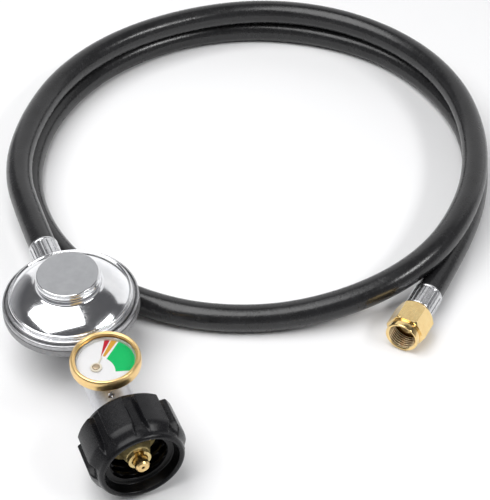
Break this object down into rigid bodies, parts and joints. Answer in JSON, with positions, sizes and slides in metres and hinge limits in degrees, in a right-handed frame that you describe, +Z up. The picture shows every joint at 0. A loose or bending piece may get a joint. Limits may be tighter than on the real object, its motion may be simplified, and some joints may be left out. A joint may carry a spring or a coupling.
{
  "type": "propane regulator hose",
  "caption": "Low-pressure propane regulator with a handwheel inlet, a dial gauge, and a looped rubber hose that ends in a swivel flare nut.",
  "frame": {"origin": "under the middle of the regulator, halfway between the handwheel's mouth and the outlet ferrule's lip, on the floor that the handwheel, the hose and the end nut lie on", "axes": "+Z up out of the regulator's cap; +Y along the common inlet and outlet axis, from the handwheel towards the hose; -Y out of the handwheel's mouth"},
  "size_m": [0.323, 0.3468, 0.0528],
  "materials": {
    "black_plastic": "moulded nylon with a soft sheen",
    "brass": "turned, clean",
    "thermal_plastic": "moulded fusible bushing",
    "acetal": "moulded",
    "white_metal": "cast zinc, lightly blasted",
    "steel": "zinc plated",
    "case_metal": "lacquered",
    "lens": "clear",
    "dial_white": "printed dial with coloured zones",
    "needle_brass": "thin stamped",
    "bourdon_bronze": "drawn tube",
    "body_metal": "cast zinc",
    "chrome": "polished",
    "cap_plastic": "matt grey",
    "adjuster_plastic": "moulded",
    "rubber_seal": "soft moulded",
    "hose_rubber": "smooth extruded cover with a soft sheen"
  },
  "bodies": {
    "regulator": {"arbor_bridge": "brass", "bourdon_coil": "bourdon_bronze", "bourdon_socket": "brass", "clamp_ring": "steel", "closing_cap": "cap_plastic", "diaphragm": "rubber_seal", "end_ferrule": "steel", "flare_stem": "brass", "gauge_bezel": "brass", "gauge_case": "case_metal", "gauge_dial": "dial_white", "gauge_lens": "lens", "hose": "hose_rubber", "inlet_orifice": "brass", "inlet_stem": "white_metal", "lens_spacer": "acetal", "lever_pin": "steel", "main_spring": "steel", "nipple_probe": "brass", "outlet_barb": "brass", "outlet_ferrule": "steel", "poppet_spring": "steel", "qcc_nipple": "brass", "regulator_body": "body_metal", "regulator_cover": "chrome", "spring_adjuster": "adjuster_plastic", "stem_plug": "steel", "thermal_bushing": "thermal_plastic", "vent_screen": "steel"},
    "qcc_nut": {"qcc_nut": "black_plastic"},
    "swivel_nut": {"swivel_nut": "brass"},
    "flow_poppet": {"flow_poppet": "acetal"},
    "needle": {"gauge_needle": "needle_brass", "needle_arbor": "brass"},
    "diaphragm_group": {"diaphragm_plate": "steel", "diaphragm_stem": "steel", "stem_nut": "steel"},
    "valve_lever": {"valve_lever": "steel"},
    "valve_slider": {"valve_slider": "brass", "valve_pad": "rubber_seal"}
  },
  "joints": [
    {"name": "qcc_nut_spin", "type": "hinge", "parent": "regulator", "child": "qcc_nut", "pos_m": [0, -0.07025, 0.0242], "axis": [0, -1, 0], "continuous": true},
    {"name": "swivel_nut_spin", "type": "hinge", "parent": "regulator", "child": "swivel_nut", "pos_m": [0.16304, -0.03848, 0.00953], "axis": [-0.7846, -0.62, 0], "continuous": true},
    {"name": "flow_poppet_slide", "type": "slide", "parent": "regulator", "child": "flow_poppet", "axis": [0, 1, 0], "range_m": [0, 0.0026], "stiffness_N_per_m": 40, "springref_m": -0.001, "deforming": ["poppet_spring"]},
    {"name": "gauge_needle_turn", "type": "hinge", "parent": "regulator", "child": "needle", "pos_m": [-0.0054, -0.03265, 0.046], "axis": [0, 0, 1], "range_deg": [-85, 0], "stiffness_Nm_per_rad": 0.00002, "springref_deg": 11.46, "deforming": ["bourdon_coil"]},
    {"name": "diaphragm_travel", "type": "slide", "parent": "regulator", "child": "diaphragm_group", "axis": [0, 0, 1], "range_m": [0, 0.003], "stiffness_N_per_m": 2000, "springref_m": -0.001, "deforming": ["main_spring", "diaphragm"]},
    {"name": "valve_lever_turn", "type": "hinge", "parent": "regulator", "child": "valve_lever", "pos_m": [0, 0.01055, 0.0197], "axis": [1, 0, 0], "range_deg": [0, 10.3]},
    {"name": "valve_slide", "type": "slide", "parent": "regulator", "child": "valve_slider", "axis": [0, -1, 0], "range_m": [0, 0.0008]}
  ],
  "couplings": [
    {"joint": "valve_lever_turn", "follows": "diaphragm_travel", "rad_per_m": 59.1},
    {"joint": "valve_slide", "follows": "diaphragm_travel", "ratio": 0.2647}
  ]
}
